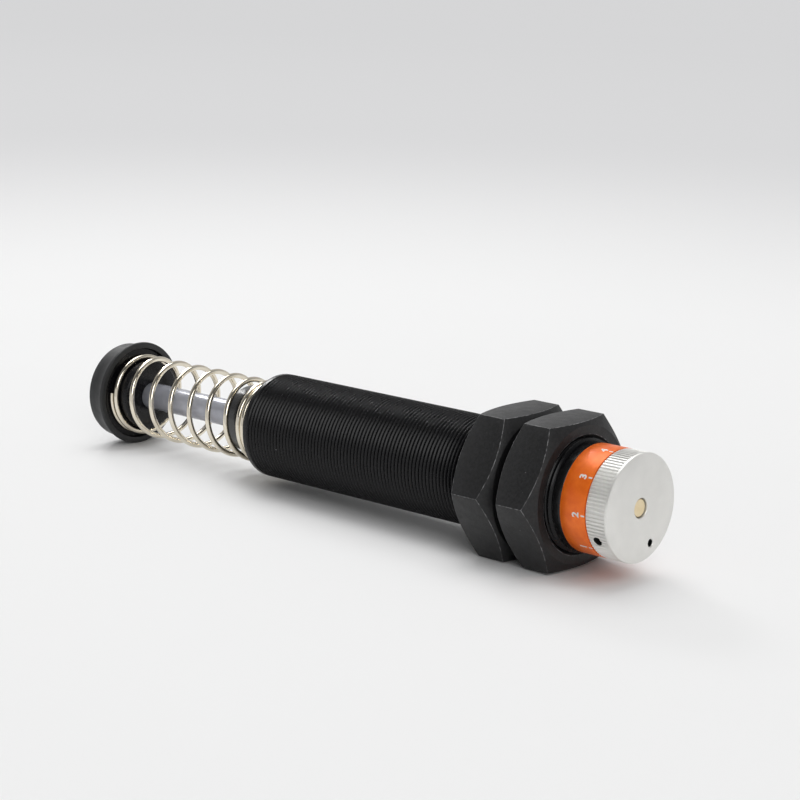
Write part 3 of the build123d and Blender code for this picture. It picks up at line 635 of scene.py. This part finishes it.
gland.data.materials.append(turned_black)
finish_piece(gland, "cylinder", "gloss_black", "front_gland")

# %% [markdown]
# ## The dial ring
# The ring is turned aluminium, anodised and dyed orange. The dye sits in a clear glassy layer and
# hides most of the metal under it, so the ring looks like strong even colour with a soft gloss and
# only a little of a metal's tinted reflection. Its scale is printed in white: eight numbers 40
# degrees apart, each with a tick beside the knob.

# %% The ring
dial_front, dial_back = ends("dial_ring")
RING_BORE_R = 15.02 * MM
ring = lathe("anodised_dial_ring", [(dial_front, RING_BORE_R), (dial_front, dial_r), (dial_back, dial_r),
                                    (dial_back, RING_BORE_R)], steps=144)
orange = finish("orange_anodised_aluminium", ("ef660e", "fc791a"), 2.5 * MM, (0.28, 0.38), 1.5 * MM,
                Metallic=0.2)
ring.data.materials.append(orange)
finish_piece(ring, "cylinder", "orange_anodised", "dial_ring")

# %% [markdown]
# Each figure is a text object, turned to a mesh and laid round the ring a few hundredths of a
# millimetre proud, as thick ink is. Its width runs round the ring and its top is towards the nuts.

# %% The scale
FIGURE = 2.4 * MM
TEXT_SIZE = 1.4          # a text object is this many times as large as its figures are high
STROKE = 0.05            # thickens the figures, as a share of their height
INK = 0.03 * MM
NUMBERS = 8
FIRST, STEP = math.radians(-132), math.radians(40)
FIGURE_X, TICK_X = 144.7 * MM, 147.3 * MM
TICK_WIDTH, TICK_LENGTH = 0.5 * MM, 1.3 * MM
white_ink = finish("white_printed_ink", ("dcd8d0", "f6f4f0"), 0.5 * MM, (0.4, 0.55), MM)


def print_on_ring(obj, x, clock):
    """Lays a flat piece round the ring with its middle at x and at that clock angle."""
    for point in obj.data.vertices:
        angle = clock + point.co.x / dial_r
        r = dial_r + point.co.z
        point.co = (x - point.co.y, r * math.sin(angle), r * math.cos(angle))
    tidy(obj, 0.0002 * MM)


def figure(text):
    """A number as a flat mesh, with its middle at the origin."""
    bpy.ops.object.select_all(action="DESELECT")
    bpy.ops.object.text_add()
    obj = bpy.context.object
    obj.data.body = text
    obj.data.size = TEXT_SIZE * FIGURE
    obj.data.offset = STROKE * FIGURE
    obj.data.extrude = INK
    obj.data.resolution_u = 4
    obj.data.align_x = obj.data.align_y = "CENTER"
    bpy.ops.object.convert(target="MESH")
    return bpy.context.object


def tick(width, length):
    """A short bar as a flat mesh, with its middle at the origin."""
    bpy.ops.object.select_all(action="DESELECT")
    bpy.ops.mesh.primitive_cube_add(size=1)
    bpy.ops.transform.resize(value=(width, length, 2 * INK))
    bpy.ops.object.transform_apply(location=True, rotation=True, scale=True)
    return bpy.context.object


printed = []
for number in range(NUMBERS):
    for piece, x in ((figure(str(number + 1)), FIGURE_X), (tick(TICK_WIDTH, TICK_LENGTH), TICK_X)):
        print_on_ring(piece, x, FIRST + number * STEP)
        printed.append(piece)
pick(printed[0])
for piece in printed:
    piece.select_set(True)
bpy.ops.object.join()
scale = bpy.context.object
scale.name = scale.data.name = "printed_dial_scale"
scale.data.materials.clear()
scale.data.materials.append(white_ink)
finish_piece(scale, "cylinder", "orange_anodised")

# %% [markdown]
# ## The adjuster knob
# The knob is turned aluminium with a straight knurl, rolled in, and a plain rim at the face. The
# turned blank has four columns of points to each tooth. Every second pair of columns is pressed
# towards the axis, which leaves the grooves, and the rim keeps its full radius.

# %% The blank of the knob
TEETH, COLUMNS = 90, 4
KNURL_DEPTH = 0.35 * MM
RIM = 0.8 * MM
SHAFT_HOLE_R = 3.15 * MM
BOSS_R, BOSS = 6.0 * MM, 4.2 * MM
boss_x, knob_face = ends("adjuster_knob")
RIM_EDGE, RIM_CORNER = 0.4 * MM, 0.12 * MM
HOLE_EDGE = 0.15 * MM
knob_back = boss_x + BOSS
knurl_end = knob_face - RIM
knob = lathe("knurled_adjuster_knob",
             [(boss_x, SHAFT_HOLE_R), (boss_x, BOSS_R), (knob_back, BOSS_R), (knob_back, dial_r - RIM_EDGE),
              (knob_back + 0.3 * MM, dial_r - 0.05 * MM), (knurl_end - 0.25 * MM, dial_r - HAIR),
              (knurl_end, dial_r), (knob_face - RIM_EDGE, dial_r),
              (knob_face - RIM_CORNER, dial_r - RIM_CORNER), (knob_face, dial_r - RIM_EDGE),
              (knob_face, SHAFT_HOLE_R + HOLE_EDGE), (knob_face - HOLE_EDGE, SHAFT_HOLE_R)],
             steps=COLUMNS * TEETH, edge=0)
print("knob blank faces", len(knob.data.polygons))

# %% Press in the knurl
pick(knob)
bpy.ops.object.mode_set(mode="EDIT")
bpy.ops.mesh.select_mode(type="VERT")
bpy.ops.mesh.select_all(action="DESELECT")
knurl_mesh = bmesh.from_edit_mesh(knob.data)
column = 2 * math.pi / (COLUMNS * TEETH)
for point in knurl_mesh.verts:
    on_side = math.hypot(point.co.y, point.co.z) > dial_r - 0.2 * MM
    in_groove = round(math.atan2(point.co.z, point.co.y) / column) % COLUMNS in (0, 1)
    point.select_set(on_side and point.co.x < knurl_end - 0.1 * MM and in_groove)
bmesh.update_edit_mesh(knob.data)
pressed = 1 - KNURL_DEPTH / dial_r
bpy.ops.transform.resize(value=(1, pressed, pressed), center_override=(0, 0, 0))
bpy.ops.object.mode_set(mode="OBJECT")
print("knurl pitch", round(2 * math.pi * dial_r / TEETH / MM, 2), "mm")

# %% [markdown]
# A set screw in the knob's side grips the shaft, and the hole above it serves as the pointer. A
# second hole, in the face, holds the screw that locks the setting.

# %% The two screw holes
SIDE_X, SIDE_CLOCK = 151.4 * MM, math.radians(-119.1)
SIDE_R, SIDE_MOUTH_R, SIDE_SINK = 1.52 * MM, 1.75 * MM, 0.9 * MM
FACE_PLACE_R, FACE_CLOCK = 13.2 * MM, math.radians(156.2)
FACE_R, FACE_MOUTH_R, FACE_SINK = 1.2 * MM, 1.5 * MM, 0.5 * MM
LIFT = 0.1 * MM          # how far a countersink starts outside the surface
outward = Vector((0, math.sin(SIDE_CLOCK), math.cos(SIDE_CLOCK)))
side_mouth = Vector((SIDE_X, 0, 0)) + outward * dial_r
drill(knob, side_mouth, -outward, SIDE_SINK, SIDE_R - 0.25 * MM, SIDE_MOUTH_R, over=LIFT)
drill(knob, side_mouth, -outward, dial_r - SHAFT_HOLE_R + MM, SIDE_R)
face_mouth = (knob_face, FACE_PLACE_R * math.sin(FACE_CLOCK), FACE_PLACE_R * math.cos(FACE_CLOCK))
drill(knob, face_mouth, Vector((-1, 0, 0)), FACE_SINK, FACE_R - 0.2 * MM, FACE_MOUTH_R, over=LIFT)
drill(knob, face_mouth, Vector((-1, 0, 0)), knob_face - knob_back + MM, FACE_R)
tidy(knob)
smooth(knob, 30)
print("knob faces", len(knob.data.polygons))

# %% [markdown]
# Satin aluminium: the face was turned and then etched before clear anodising, which leaves a
# light, even grey with a wide soft gloss that looks only partly metallic. The turning marks are
# rings about the axis, drawn from the distance to it.

# %% Satin aluminium with turning marks
RING_APART = 0.25 * MM
satin = finish("satin_turned_aluminium", ("e4e3df", "edece8"), 8 * MM, (0.34, 0.42), 2 * MM, Metallic=0.55)
knob_nodes = satin.node_tree
knob_place = add_node(knob_nodes, "TexCoord")
flat = add_node(knob_nodes, "VectorMath", {"operation": "MULTIPLY"}, {0: knob_place.outputs["Object"],
                                                                      1: (0, 1, 1)})
reach = add_node(knob_nodes, "VectorMath", {"operation": "LENGTH"}, {0: flat.outputs["Vector"]})
turning = add_node(knob_nodes, "TexNoise", {"noise_dimensions": "1D"}, {"W": reach.outputs["Value"],
                                                                        "Scale": 1 / RING_APART})
turn_marks = add_node(knob_nodes, "Bump", inputs={"Height": turning.outputs["Fac"], "Strength": 0.15,
                                                  "Distance": 0.02 * MM})
knob_nodes.links.new(turn_marks.outputs["Normal"], knob_nodes.nodes["Principled BSDF"].inputs["Normal"])
print("turning marks", round(RING_APART / MM, 2), "mm apart")

# %% Satin outside, painted shade inside the holes
knob.data.materials.append(satin)
# painted shade: the walls of both holes get a near-black material
knob.data.materials.append(finish("painted_shade_hole_wall", ("0c0c0c", "1a1a19"), MM, (0.4, 0.6), MM))
for face in knob.data.polygons:
    across_side = (face.center - side_mouth).cross(outward).length
    across_face = (face.center - Vector(face_mouth)).cross(Vector((1, 0, 0))).length
    deep = face.center.dot(outward) < dial_r - 0.6 * MM and face.center.dot(outward) > BOSS_R
    in_side = across_side < SIDE_R + HAIR and deep
    in_face = across_face < FACE_R + HAIR and face.center.x < knob_face - 0.4 * MM
    face.material_index = int(in_side or in_face)
finish_piece(knob, "adjuster", "satin_aluminium", "adjuster_knob")

# %% [markdown]
# ## Pieces that keep their model shape
# The pieces inside the body, the adjuster's shaft and the small screws already have the right shape
# in the model. Once the absorber is together, little more shows of them than the brass end of the
# shaft. Each still gets its real finish, because the pieces are also looked at one by one.
# Bronze and brass are warm metals, the steel parts are machined bright, and the seals are matt black
# nitrile rubber.

# %% Finishes of the inner pieces
inner = {
    finish("turned_brass", ("e6d2a8", "f0dfbb"), 4 * MM, (0.3, 0.38), 1.5 * MM, 0.01 * MM, Metallic=0.8):
        ["adjuster_shaft"],
    finish("bearing_bronze", ("8f6a3c", "a67d49"), 3 * MM, (0.3, 0.42), 1.5 * MM, 0.01 * MM, Metallic=1.0):
        ["rod_bearing", "piston", "piston_ring"],
    finish("machined_steel", ("9a9c9f", "b0b2b5"), 3 * MM, (0.22, 0.36), 1.5 * MM, 0.01 * MM, Metallic=1.0):
        ["seal_retainer", "pressure_tube", "piston_nut", "check_plate", "orifice_seat", "metering_needle",
         "needle_pin", "shaft_circlip"],
    finish("nitrile_rubber", ("131313", "1d1d1d"), 3 * MM, (0.5, 0.65), 1.5 * MM, 0.02 * MM):
        ["rod_wiper", "rod_seal", "gland_oring", "plug_oring", "shaft_oring"],
    finish("black_oxide_screw", ("131313", "1f1f20"), 2 * MM, (0.35, 0.5), 1.5 * MM, 0.01 * MM):
        ["head_screw", "knob_set_screw", "knob_lock_screw", "filler_screw"],
    turned_black: ["rear_plug"],
}
for material, names in inner.items():
    for name in names:
        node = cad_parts[name]
        node.data.materials.clear()
        node.data.materials.append(material)
print("finished nodes", sum(len(names) for names in inner.values()))

# %% [markdown]
# ## The foam sleeve
# A sleeve of closed-cell foam lies round the pressure tube. When the rod comes in, the oil that it
# pushes aside squeezes the foam's cells, and the sleeve gives way by just that volume. It is spun
# like the turned pieces, but it is cut from soft tube, so its ends are rounded and its side swells
# a little. Foam is matt, and its cells show as fine pits.

# %% Foam sleeve
foam_front, foam_back = ends("accumulator_foam")
foam_r = radius("accumulator_foam")
FOAM_PLAY = 0.3 * MM
foam_in = radius("pressure_tube") + FOAM_PLAY
SOFT_EDGE, SWELL = 0.8 * MM, 0.15 * MM
sleeve = lathe("closed_cell_foam_sleeve",
               [(foam_front, foam_in), (foam_front, foam_r - SOFT_EDGE),
                (foam_front + SOFT_EDGE, foam_r - SWELL), ((foam_front + foam_back) / 2, foam_r),
                (foam_back - SOFT_EDGE, foam_r - SWELL), (foam_back, foam_r - SOFT_EDGE),
                (foam_back, foam_in)], steps=96, edge=0.3 * MM)
sleeve.data.materials.append(finish("closed_cell_foam", ("26282a", "34363a"), 1.2 * MM, (0.8, 0.95), MM,
                                    0.1 * MM, 0.5 * MM))
finish_piece(sleeve, "cylinder", "foam", "accumulator_foam")
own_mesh(sleeve)

# %% [markdown]
# ## The studio
# The absorber lies in a wide shallow bowl of pale paper: a round floor that bends up into a low
# wall, so that no line between them shows from any side. It rests on the head's lip and on the
# front nut, which is wider, so the floor leans a little against the absorber's axis. The bowl is
# an outline spun about the upright axis.

# %% Where the floor lies
LIP_TOUCH, NUT_TOUCH = 0.6 * MM, 0.7 * MM      # how far inside their ends they touch the floor
CLEARANCE = 0.05 * MM
lip_low = Vector((cap_lip - LIP_TOUCH, 0, -lip_r))
nut_low = Vector((nut_front + NUT_TOUCH, 0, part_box("lock_nut_front")[0][2]))
along = (nut_low - lip_low).normalized()
floor_up = Vector((-along.z, 0, along.x))
floor_point = lip_low - floor_up * CLEARANCE
print("floor leans", round(math.degrees(math.asin(floor_up.x)), 2), "degrees")

# %% The sweep
FLOOR_R, BEND, WALL = 1.6, 0.5, 0.65
ARC_STEPS = 12
angles = [math.radians(90) * k / ARC_STEPS for k in range(1, ARC_STEPS + 1)]
arc = [(FLOOR_R + BEND * math.sin(a), BEND * (1 - math.cos(a))) for a in angles]
sweep = start_point("studio_sweep", 0, 0)
extrude_along([(0, 0), (FLOOR_R, 0)] + arc + [(FLOOR_R + BEND, WALL)])
bpy.ops.mesh.select_all(action="SELECT")
bpy.ops.mesh.spin(steps=96, angle=2 * math.pi, center=(0, 0, 0), axis=(0, 1, 0))
bpy.ops.object.mode_set(mode="OBJECT")
tidy(sweep)
smooth(sweep, 60)
sideways = Vector((0, 1, 0))
upright = Matrix((floor_up.cross(sideways), floor_up, sideways)).transposed()
sweep.data.transform(Matrix.Translation(floor_point) @ upright.to_4x4())
print("sweep faces", len(sweep.data.polygons))

# %% [markdown]
# The paper is white round the absorber, and painted shade turns it light grey further out, where the light
# falls off. A share of its tone is painted light that glows by itself for the camera and in mirrors, but
# lights nothing, which keeps the wide shadow on it soft and light. This painted glow fades where the absorber
# stands close above the paper, so that the lit shadow shows dark there and the absorber rests on the table.

# %% The tone of the paper, with painted shade further out
NEAR, FAR = 0.3, 0.95                   # metres from the absorber
paper = finish("matt_paper_sweep", ("efefef", "f1f1f1"), 0.5, (0.8, 0.9), 0.3)
paper_nodes = paper.node_tree
paper_shader = paper_nodes.nodes["Principled BSDF"]
paper_place = add_node(paper_nodes, "TexCoord")
distance = add_node(paper_nodes, "VectorMath", {"operation": "LENGTH"}, {0: paper_place.outputs["Object"]})
# painted shade: the paper's colour turns grey with distance from the absorber
falloff = add_node(paper_nodes, "MapRange", {"interpolation_type": "SMOOTHSTEP"},
                   {"Value": distance.outputs["Value"], "From Min": NEAR, "From Max": FAR})
white_tone = paper_shader.inputs["Base Color"].links[0].from_socket
tone = add_node(paper_nodes, "Mix", {"data_type": "RGBA"},
                {FACTOR: falloff.outputs["Result"], FROM: white_tone, TO: colour("dadadb")})
paper_nodes.links.new(tone.outputs[MIXED], paper_shader.inputs["Base Color"])
print("paper turns grey from", NEAR, "to", FAR, "m")

# %% The painted glow of the paper
GLOW_NEAR, GLOW_FAR = 0.5, 0.92
CONTACT_REACH = 0.015
SHUT, OPEN = 0.35, 0.9                  # how free the paper is where the glow is gone, and full
# painted light: a share of the paper glows for camera and glossy rays, more of it further out
ray = add_node(paper_nodes, "LightPath")
seen = add_node(paper_nodes, "Math", {"operation": "MAXIMUM"}, {0: ray.outputs["Is Camera Ray"],
                                                                1: ray.outputs["Is Glossy Ray"]})
far_glow = add_node(paper_nodes, "MapRange", inputs={"Value": falloff.outputs["Result"],
                                                     "To Min": GLOW_NEAR, "To Max": GLOW_FAR})
# the painted glow fades where an occlusion test finds the absorber close above the paper
free = add_node(paper_nodes, "AmbientOcclusion", {"samples": 8}, {"Distance": CONTACT_REACH})
contact = add_node(paper_nodes, "MapRange", inputs={"Value": free.outputs["AO"], "From Min": SHUT,
                                                    "From Max": OPEN})
open_glow = add_node(paper_nodes, "Math", {"operation": "MULTIPLY"}, {0: contact.outputs["Result"],
                                                                      1: far_glow.outputs["Result"]})
seen_glow = add_node(paper_nodes, "Math", {"operation": "MULTIPLY"}, {0: seen.outputs["Value"],
                                                                      1: open_glow.outputs["Value"]})
glow = add_node(paper_nodes, "Emission", inputs={"Color": tone.outputs[MIXED]})
both = add_node(paper_nodes, "MixShader", inputs={0: seen_glow.outputs["Value"],
                                                  1: paper_shader.outputs["BSDF"],
                                                  2: glow.outputs["Emission"]})
paper_nodes.links.new(both.outputs["Shader"], paper_nodes.nodes["Material Output"].inputs["Surface"])
sweep.data.materials.append(paper)
print("the glow fades within", CONTACT_REACH, "m of the absorber")

# %% [markdown]
# ## Camera and light
# The camera stands behind the knob, to the right and a little above, 0.8 m away with a long lens.
# A soft light a metre wide hangs over the absorber, slightly behind it, and gives the glow along the
# top of the body. A small one behind and to the left draws a highlight along the thread and the rod,
# and another wide one on the right lights the knob. The room is bright behind the absorber and dim
# on the camera's side, so that the plated wire has something dark to mirror between the lights.

# %% Camera
IMAGE_SIDE, SENSOR = 800, 36
FOCAL_IN_PIXELS = 2305.33
CAMERA_PLACE = (556.815 * MM, -541.607 * MM, 190.742 * MM)
CAMERA_ANGLES = (76.7944, 0.0036, 42.682)
camera_data = bpy.data.cameras.new("camera")
camera_data.sensor_width = SENSOR
camera_data.lens = SENSOR * FOCAL_IN_PIXELS / IMAGE_SIDE
camera_data.clip_start = 0.01
camera = bpy.data.objects.new("camera", camera_data)
bpy.context.scene.collection.objects.link(camera)
camera.location = CAMERA_PLACE
camera.rotation_euler = [math.radians(a) for a in CAMERA_ANGLES]
bpy.context.scene.camera = camera
print("camera", round(camera.location.length, 3), "m from the origin, lens", round(camera_data.lens, 1), "mm")


# %% Lights
def soft_light(name, place, aim, width, height, power):
    """A rectangular soft box at a place, facing aim."""
    data = bpy.data.lights.new(name, "AREA")
    data.shape = "RECTANGLE"
    data.size, data.size_y, data.energy = width, height, power
    light = bpy.data.objects.new(name, data)
    bpy.context.scene.collection.objects.link(light)
    light.location = place
    light.rotation_euler = (Vector(aim) - Vector(place)).to_track_quat("-Z", "Y").to_euler()


soft_light("overhead_box", (-0.15, 0.25, 1.15), (0.05, 0, 0), 1.0, 0.8, 8.5)
soft_light("rear_left_box", (-1.2, 0.6, 1.0), (0.05, 0, 0), 0.45, 0.35, 7)
soft_light("right_side_box", (1.25, -0.75, 0.85), (0.1, 0, 0), 1.1, 0.9, 8)
print("soft lights", len(bpy.data.lights))

# %% The room
DIM, BRIGHT = 0.15, 0.65
DIM_UP_TO, BRIGHT_FROM = -0.3, 0.9      # share of a direction that points to the bright side
BRIGHT_SIDE = (-0.68, 0.73, 0)
world = bpy.data.worlds.new("studio_room")
bpy.context.scene.world = world
world.use_nodes = True
room_nodes = world.node_tree
direction = add_node(room_nodes, "TexCoord")
behind = add_node(room_nodes, "VectorMath", {"operation": "DOT_PRODUCT"}, {0: direction.outputs["Object"],
                                                                           1: BRIGHT_SIDE})
level = add_node(room_nodes, "MapRange", inputs={"Value": behind.outputs["Value"],
                                                 "From Min": DIM_UP_TO, "From Max": BRIGHT_FROM,
                                                 "To Min": DIM, "To Max": BRIGHT})
room_nodes.links.new(level.outputs["Result"], room_nodes.nodes["Background"].inputs["Strength"])
room_nodes.nodes["Background"].inputs["Color"].default_value = colour("f4f4f4")
bpy.context.scene.view_settings.view_transform = "Standard"
print("room strength from", DIM, "to", BRIGHT)
